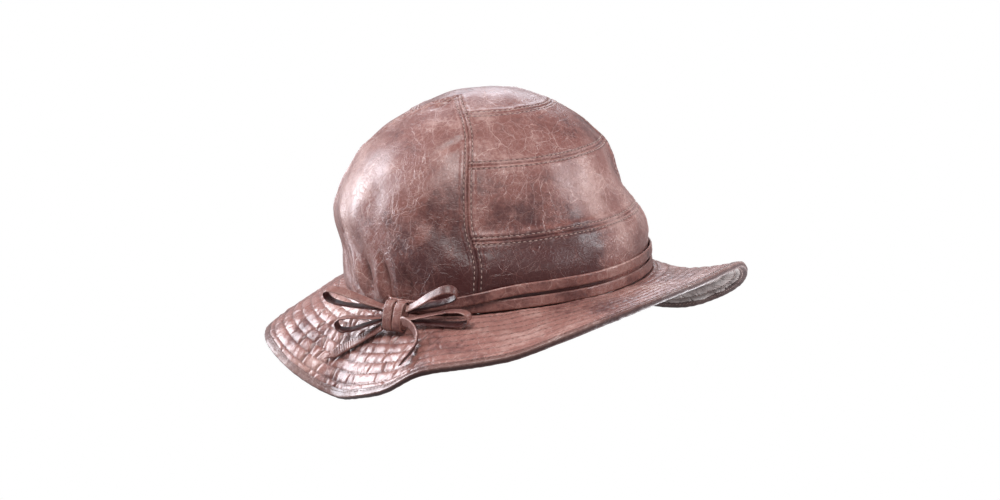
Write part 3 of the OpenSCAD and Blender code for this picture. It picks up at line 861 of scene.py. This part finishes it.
def ramp(nodeTree, value, low, high, a=0.0, b=1.0):
    ends = {"Value": value, "From Min": low, "From Max": high, "To Min": a, "To Max": b}
    return add(nodeTree, "MapRange", ends, interpolation_type="SMOOTHSTEP").outputs["Result"]


def mixColour(nodeTree, factor, a, b, blend="MIX"):
    node = add(nodeTree, "Mix", data_type="RGBA", blend_type=blend)
    for index, value in ((0, factor), (6, a), (7, b)):
        if isinstance(value, bpy.types.NodeSocket):
            nodeTree.links.new(value, node.inputs[index])
        else:
            node.inputs[index].default_value = value
    return node.outputs[2]


def noise(nodeTree, vector, scale, detailLevel=3.0, rough=0.55):
    settings = {"Vector": vector, "Scale": scale, "Detail": detailLevel, "Roughness": rough}
    return add(nodeTree, "TexNoise", settings).outputs["Fac"]


# one net of fine cracks, broken up by a noise
def makeCrackle():
    group, nodes = tree("crackle", [
        ("Vector", "Vector", None), ("Scale", "Float", 100.0), ("Width", "Float", 0.05),
        ("Broken", "Float", 0.5)], [("Mask", "Float")])
    start = add(nodes, "NodeGroupInput")
    warp = add(nodes, "TexNoise", {
        "Vector": start.outputs["Vector"], "Scale": 42.0, "Detail": 4.0, "Roughness": 0.6})
    shifted = add(nodes, "VectorMath", {0: warp.outputs["Color"], 1: (0.5, 0.5, 0.5)}, operation="SUBTRACT")
    scaled = add(nodes, "VectorMath", {0: shifted.outputs[0], "Scale": 0.011}, operation="SCALE")
    moved = add(nodes, "VectorMath", {0: start.outputs["Vector"], 1: scaled.outputs[0]}, operation="ADD")
    cells = add(nodes, "TexVoronoi", {"Vector": moved.outputs[0], "Scale": start.outputs["Scale"]},
                feature="DISTANCE_TO_EDGE")
    line = calc(nodes, "DIVIDE", cells.outputs["Distance"], start.outputs["Width"])
    line = ramp(nodes, line, 0.0, 1.0, 1.0, 0.0)
    gaps = noise(nodes, moved.outputs[0], calc(nodes, "MULTIPLY", start.outputs["Scale"], 0.55), 3.0)
    near = calc(nodes, "SUBTRACT", start.outputs["Broken"], 0.12)
    far = calc(nodes, "ADD", start.outputs["Broken"], 0.12)
    kept = add(nodes, "MapRange", {"Value": gaps, "From Min": near, "From Max": far}).outputs["Result"]
    mask = calc(nodes, "MULTIPLY", line, kept, True)
    end = add(nodes, "NodeGroupOutput")
    nodes.links.new(mask, end.inputs["Mask"])
    return group


crackle = makeCrackle()


def makeAgedLeather():
    group, nodes = tree("agedLeather", [
        ("Vector", "Vector", None), ("Dark", "Color", (0.08, 0.03, 0.025, 1)),
        ("Mid", "Color", (0.26, 0.115, 0.09, 1)),
        ("Light", "Color", (0.52, 0.31, 0.265, 1)), ("Veins", "Float", 1.0), ("PaintedLightShade", "Float", 0.0),
        ("PaintedShade", "Float", 0.0), ("WearAndHighlight", "Float", 0.0), ("Shine", "Float", 0.38)],
        [("Color", "Color"), ("Roughness", "Float"), ("Height", "Float")])
    start = add(nodes, "NodeGroupInput")
    vector = start.outputs["Vector"]
    broad = noise(nodes, vector, 17.0, 3.0)
    cloud = noise(nodes, vector, 60.0, 6.0, 0.62)
    fine = noise(nodes, vector, 420.0, 5.0, 0.65)
    grain = noise(nodes, vector, 2300.0, 2.0)
    masks = []
    nets = ((38.0, 0.010, 0.47), (88.0, 0.022, 0.47), (200.0, 0.045, 0.48), (520.0, 0.09, 0.5))
    for scale, width, broken in nets:
        net = add(nodes, "Group", node_tree=crackle)
        nodes.links.new(vector, net.inputs["Vector"])
        net.inputs["Scale"].default_value = scale
        net.inputs["Width"].default_value = width
        net.inputs["Broken"].default_value = broken
        masks.append(net.outputs["Mask"])
    veins = calc(nodes, "MAXIMUM", masks[0], calc(nodes, "MULTIPLY", masks[1], 0.85))
    veins = calc(nodes, "MAXIMUM", veins, calc(nodes, "MULTIPLY", masks[2], 0.6))
    veins = calc(nodes, "MAXIMUM", veins, calc(nodes, "MULTIPLY", masks[3], 0.35))
    veins = calc(nodes, "MULTIPLY", veins, start.outputs["Veins"])
    tone = ramp(nodes, broad, 0.34, 0.66, -0.3, 0.22)
    tone = calc(nodes, "ADD", tone, ramp(nodes, cloud, 0.32, 0.68, -0.24, 0.2))
    tone = calc(nodes, "ADD", tone, ramp(nodes, fine, 0.3, 0.7, -0.13, 0.13))
    # painted highlights and painted shade are added to the tone here
    tone = calc(nodes, "ADD", tone, start.outputs["PaintedLightShade"])
    # lighter where the leather is worn and where a highlight is painted
    tone = calc(nodes, "ADD", tone, calc(nodes, "MULTIPLY", start.outputs["WearAndHighlight"], 0.22))
    lower = ramp(nodes, tone, -0.62, 0.05)
    upper = ramp(nodes, tone, 0.02, 0.62)
    colour = mixColour(nodes, lower, start.outputs["Dark"], start.outputs["Mid"])
    colour = mixColour(nodes, calc(nodes, "MULTIPLY", upper, 0.55), colour, start.outputs["Light"])
    veinTint = mixColour(nodes, ramp(nodes, tone, -0.55, 0.15), start.outputs["Mid"], start.outputs["Light"])
    colour = mixColour(nodes, calc(nodes, "MULTIPLY", veins, 0.8, True), colour, veinTint)
    # painted shade in hollows, creases and stitch channels, darkened towards near black
    shadeShare = calc(nodes, "MULTIPLY", start.outputs["PaintedShade"], 0.86, True)
    shadeColour = mixColour(nodes, 0.5, start.outputs["Dark"], (0.01, 0.003, 0.003, 1))
    colour = mixColour(nodes, shadeShare, colour, shadeColour)
    rough = calc(nodes, "ADD", start.outputs["Shine"], ramp(nodes, cloud, 0.3, 0.7, 0.12, -0.06))
    rough = calc(nodes, "ADD", rough, calc(nodes, "MULTIPLY", veins, 0.12))
    rough = calc(nodes, "ADD", rough, calc(nodes, "MULTIPLY", start.outputs["PaintedShade"], 0.15), True)
    height = calc(nodes, "MULTIPLY", veins, -0.5)
    height = calc(nodes, "ADD", height, calc(nodes, "MULTIPLY", cloud, 0.9))
    height = calc(nodes, "ADD", height, calc(nodes, "MULTIPLY", fine, 0.5))
    height = calc(nodes, "ADD", height, calc(nodes, "MULTIPLY", grain, 0.1))
    end = add(nodes, "NodeGroupOutput")
    nodes.links.new(colour, end.inputs["Color"])
    nodes.links.new(rough, end.inputs["Roughness"])
    nodes.links.new(height, end.inputs["Height"])
    return group


agedLeather = makeAgedLeather()


# painted highlights and painted shade on the crown: centre and reach in metres, and how much lighter
def lightShadeMask(nodes, vector, spots):
    total = None
    for centre, size, amount in spots:
        away = add(nodes, "VectorMath", {0: vector, 1: centre}, operation="DISTANCE").outputs["Value"]
        one = ramp(nodes, away, 0.0, size, amount, 0.0)
        total = one if total is None else calc(nodes, "ADD", total, one)
    return total


def leatherMaterial(name, look, spots=()):
    material, nodes = tree(name)
    place = add(nodes, "TexCoord").outputs["Object"]
    net = add(nodes, "Group", node_tree=agedLeather)
    nodes.links.new(place, net.inputs["Vector"])
    for key in ("Dark", "Mid", "Light"):
        net.inputs[key].default_value = look[key] + (1,)
    net.inputs["Veins"].default_value = look["veins"]
    net.inputs["Shine"].default_value = look["shine"]
    nodes.links.new(add(nodes, "Attribute", attribute_name="paintedShade").outputs["Fac"], net.inputs["PaintedShade"])
    nodes.links.new(add(nodes, "Attribute", attribute_name="wearAndHighlight").outputs["Fac"], net.inputs["WearAndHighlight"])
    if spots:
        nodes.links.new(lightShadeMask(nodes, place, spots), net.inputs["PaintedLightShade"])
    elif look.get("inside"):
        # painted shade on the inner faces of the straps
        innerShade = add(nodes, "Attribute", attribute_name="inside").outputs["Fac"]
        nodes.links.new(calc(nodes, "MULTIPLY", innerShade, look["inside"]), net.inputs["PaintedLightShade"])
    bump = add(nodes, "Bump", {
        "Strength": look["bump"], "Distance": look["deep"], "Height": net.outputs["Height"]})
    shader = add(nodes, "BsdfPrincipled", {
        "Base Color": net.outputs["Color"], "Roughness": net.outputs["Roughness"],
        "Normal": bump.outputs["Normal"],
        "Specular IOR Level": look["specular"], "Coat Weight": look["coat"], "Coat Roughness": 0.28,
        "Sheen Weight": 0.04, "Sheen Roughness": 0.5})
    out = add(nodes, "OutputMaterial")
    nodes.links.new(shader.outputs[0], out.inputs["Surface"])
    return material


# sewing thread: every stitch has its own tone
def threadMaterial(name, colour, roughness, scale, depth, variation, sheen, attribute):
    material, nodes = tree(name)
    place = add(nodes, "TexCoord").outputs["Object"]
    speck = noise(nodes, place, scale, 4.0)
    tone = add(nodes, "Attribute", attribute_name=attribute).outputs["Fac"]
    speck = calc(nodes, "ADD", calc(nodes, "MULTIPLY", speck, 0.5), calc(nodes, "MULTIPLY", tone, 0.5))
    darker = tuple(x * (1 - variation) for x in colour[:3]) + (1,)
    shade = mixColour(nodes, speck, darker, tuple(colour[:3]) + (1,))
    weave = add(nodes, "TexNoise", {"Vector": place, "Scale": 1600.0, "Detail": 1.0}).outputs["Fac"]
    bump = add(nodes, "Bump", {"Strength": 0.5, "Distance": depth, "Height": weave})
    shader = add(nodes, "BsdfPrincipled", {
        "Base Color": shade, "Roughness": roughness, "Normal": bump.outputs["Normal"], "Sheen Weight": sheen})
    out = add(nodes, "OutputMaterial")
    nodes.links.new(shader.outputs[0], out.inputs["Surface"])
    return material


# woven cloth: two sets of threads across each other, by direction round the crown and height
def clothMaterial(name, colour, roughness, scale, depth, sheen):
    material, nodes = tree(name)
    place = add(nodes, "TexCoord").outputs["Object"]
    first = add(nodes, "TexWave", {"Vector": place, "Scale": scale, "Distortion": 0.6}, bands_direction="X")
    second = add(nodes, "TexWave", {"Vector": place, "Scale": scale, "Distortion": 0.6}, bands_direction="Z")
    weave = calc(nodes, "ADD", first.outputs["Fac"], second.outputs["Fac"])
    cloud = noise(nodes, place, 40.0, 3.0)
    shade = mixColour(nodes, cloud, tuple(x * 0.75 for x in colour) + (1,), tuple(colour) + (1,))
    bump = add(nodes, "Bump", {"Strength": 0.4, "Distance": depth, "Height": weave})
    shader = add(nodes, "BsdfPrincipled", {
        "Base Color": shade, "Roughness": roughness, "Normal": bump.outputs["Normal"], "Sheen Weight": sheen})
    out = add(nodes, "OutputMaterial")
    nodes.links.new(shader.outputs[0], out.inputs["Surface"])
    return material


crownLook = {"Dark": (0.068, 0.015, 0.014), "Mid": (0.215, 0.078, 0.064), "Light": (0.60, 0.38, 0.34),
             "veins": 0.85, "shine": 0.31, "bump": 0.55, "deep": 0.0011, "specular": 0.5, "coat": 0.25}
brimLook = dict(crownLook, Mid=(0.31, 0.132, 0.11), Light=(0.66, 0.44, 0.39), Dark=(0.10, 0.028, 0.026),
                veins=0.55, shine=0.27, deep=0.0008, coat=0.35)
# the brim's underside is painted lighter and greyer than the brim, as a painted highlight
underLitLook = dict(brimLook, Mid=(0.48, 0.38, 0.355), Light=(0.75, 0.67, 0.64), shine=0.26, coat=0.4)
edgeLook = dict(crownLook, Mid=(0.17, 0.075, 0.062), Light=(0.5, 0.34, 0.31), veins=0.5, deep=0.0006)
# the straps' inner faces are painted darker, as painted shade
strapLook = dict(crownLook, Mid=(0.25, 0.10, 0.082), Light=(0.62, 0.42, 0.37), veins=0.6, deep=0.0006,
                 shine=0.32, coat=0.2, inside=-1.1)
innerLook = dict(crownLook, Mid=(0.16, 0.085, 0.065), Light=(0.3, 0.18, 0.14), veins=0.15, deep=0.0004,
                 coat=0.0)
# painted highlights higher up on the crown, painted shade lower down
crownLightShadeSpots = [((-0.064, -0.070, 0.014), 0.058, -0.75), ((-0.022, -0.092, 0.016), 0.052, -0.6),
              ((-0.082, 0.036, 0.066), 0.048, 0.6), ((0.004, -0.086, 0.066), 0.030, 0.5),
              ((-0.086, -0.026, 0.040), 0.042, -0.35), ((-0.094, 0.016, 0.012), 0.030, 0.2),
              ((-0.046, -0.080, 0.052), 0.036, -0.45), ((-0.030, -0.062, 0.096), 0.045, 0.3),
              ((0.020, -0.092, 0.040), 0.030, 0.2)]
materials = {
    "crown_leather": leatherMaterial("crown_leather", crownLook, crownLightShadeSpots),
    "brim_leather": leatherMaterial("brim_leather", brimLook),
    "under_leather": leatherMaterial("under_leather", underLitLook),
    "binding_leather": leatherMaterial("binding_leather", edgeLook),
    "strap_leather": leatherMaterial("strap_leather", strapLook),
    "sweatband_leather": leatherMaterial("sweatband_leather", innerLook),
    "lining_cloth": clothMaterial("lining_cloth", (0.09, 0.05, 0.042), 0.4, 900.0, 0.00005, 0.3),
    "label_cloth": clothMaterial("label_cloth", (0.46, 0.42, 0.36), 0.6, 700.0, 0.00008, 0.2),
    "stiffening": clothMaterial("stiffening", (0.3, 0.29, 0.27), 0.85, 400.0, 0.0001, 0.1),
    "seam_tape": clothMaterial("seam_tape", (0.1, 0.06, 0.05), 0.8, 600.0, 0.0001, 0.1),
    "thread_light": threadMaterial("thread_light", (0.56, 0.37, 0.32), 0.6, 300, 0.00008, 0.45, 0.2, "tone"),
    "thread_dark": threadMaterial("thread_dark", (0.30, 0.15, 0.12), 0.65, 300, 0.00008, 0.6, 0.2, "tone"),
}


# gives a piece a single material
def paint(obj, material):
    obj.data.materials.clear()
    obj.data.materials.append(materials[material])


for name, (obj, grid) in panels.items():
    paint(obj, "lining_cloth" if name.startswith("lining") else "crown_leather")
paint(upper, "brim_leather")
paint(under, "under_leather")
paint(stiff, "stiffening")
paint(binding, "binding_leather")
paint(sweat, "sweatband_leather")
paint(label, "label_cloth")
for obj in list(scene.objects):
    if obj.type == "MESH" and (obj.name.endswith("_strap") or obj.name.startswith("bow_knot_wrap")):
        paint(obj, "strap_leather")
paint(crownThread, "thread_light")
paint(topThread, "thread_dark")
paint(underThread, "thread_light")
paint(sweatThread, "thread_dark")
for node, material in (("seam_tape", "seam_tape"), ("bow_knot_core", "strap_leather")):
    cadPiece = frame["nodes"][node]
    cadPiece.data.materials.clear()
    cadPiece.data.materials.append(materials[material])

for obj in list(scene.objects):
    if obj.type == "MESH" and not obj.parent and "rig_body" not in obj:
        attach(obj, "root")
print("materials ready", flush=True)

# sheets, with their flat sizes
for name, (obj, grid) in panels.items():
    declare(obj, grid)
declare(upper, upperFlat)
declare(under, underFlat)
declare(binding, bindGrid)
declare(stiff, underFlat)
declare(sweat, np.concatenate([ring[3:9], ring[3:9, :1]], 1))
declare(label, labelFace)

# plain white floor under the lowest edge of the brim; it can be looked through from below
floorStyle = {"size": 8.0, "gap": 0.0004, "colour": (1, 1, 1, 1)}
reach = floorStyle["size"] / 2
floorMesh = bpy.data.meshes.new("floor")
corners = [(-reach, -reach, 0), (reach, -reach, 0), (reach, reach, 0), (-reach, reach, 0)]
floorMesh.from_pydata(corners, [], [(0, 1, 2, 3)])
floor = bpy.data.objects.new("floor", floorMesh)
scene.collection.objects.link(floor)
floor.location = (0, 0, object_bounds()[0][2] - floorStyle["gap"])
floor.visible_diffuse = floor.visible_glossy = floor.visible_shadow = False
floorMaterial, nodes = tree("floor")
pale = add(nodes, "Emission", {"Color": floorStyle["colour"], "Strength": 1.0})
behind = add(nodes, "NewGeometry").outputs["Backfacing"]
seen = add(nodes, "MixShader", {0: behind, 1: pale.outputs[0], 2: add(nodes, "BsdfTransparent").outputs[0]})
nodes.links.new(seen.outputs[0], add(nodes, "OutputMaterial").inputs["Surface"])
floorMesh.materials.append(floorMaterial)

# light and background
world = bpy.data.worlds.new("world")
scene.world = world
world.use_nodes = True
nodes = world.node_tree
nodes.nodes.clear()
ray = add(nodes, "LightPath").outputs["Is Camera Ray"]
ambient = add(nodes, "Background", {"Color": (0.93, 0.96, 1.0, 1), "Strength": 0.30})
shown = add(nodes, "Background", {"Color": (1, 1, 1, 1), "Strength": 1.0})
either = add(nodes, "MixShader", {0: ray, 1: ambient.outputs[0], 2: shown.outputs[0]})
nodes.links.new(either.outputs[0], add(nodes, "OutputWorld").inputs["Surface"])


def lamp(name, place, target, size, power, colour):
    data = bpy.data.lights.new(name, "AREA")
    data.shape = "RECTANGLE"
    data.size, data.size_y = size
    data.energy = power
    data.color = colour
    obj = bpy.data.objects.new(name, data)
    scene.collection.objects.link(obj)
    obj.location = place
    obj.rotation_mode = "QUATERNION"
    obj.rotation_quaternion = (place - Vector(target)).to_track_quat("Z", "Y")


# place of a lamp by its direction round the hat, its height in degrees and its distance
def around(direction, height, distance):
    return Vector((cosd(direction) * cosd(height), sind(direction) * cosd(height), sind(height))) * distance


# each lamp: direction, height and distance, what it points at, its size, power and colour
lamps = {
    "key": ((205, 58, 1.0), (0, 0, 0.03), (0.45, 0.45), 8.2, (1, 1, 1)),
    "left": ((114, 20, 0.9), (-0.03, 0, 0.05), (0.4, 0.55), 9.0, (0.9, 0.93, 1)),
    "window": ((310, 27, 0.8), (0.02, -0.03, 0.05), (0.22, 0.26), 2.6, (0.93, 0.96, 1)),
    "rim": ((44, 36, 0.9), (0, 0, 0.03), (0.5, 0.4), 2.6, (0.85, 0.9, 1)),
    "fill": ((262, 14, 1.2), (0, 0, 0), (0.6, 0.5), 1.0, (1, 1, 1)),
    "below": ((322, -32, 0.9), (0.05, -0.05, -0.02), (0.6, 0.6), 15, (0.9, 0.95, 1)),
}
for name, (stands, target, size, power, colour) in lamps.items():
    lamp(name, around(*stands), target, size, power, colour)
scene.view_settings.view_transform = "Standard"
scene.view_settings.look = "None"
print("light ready", flush=True)
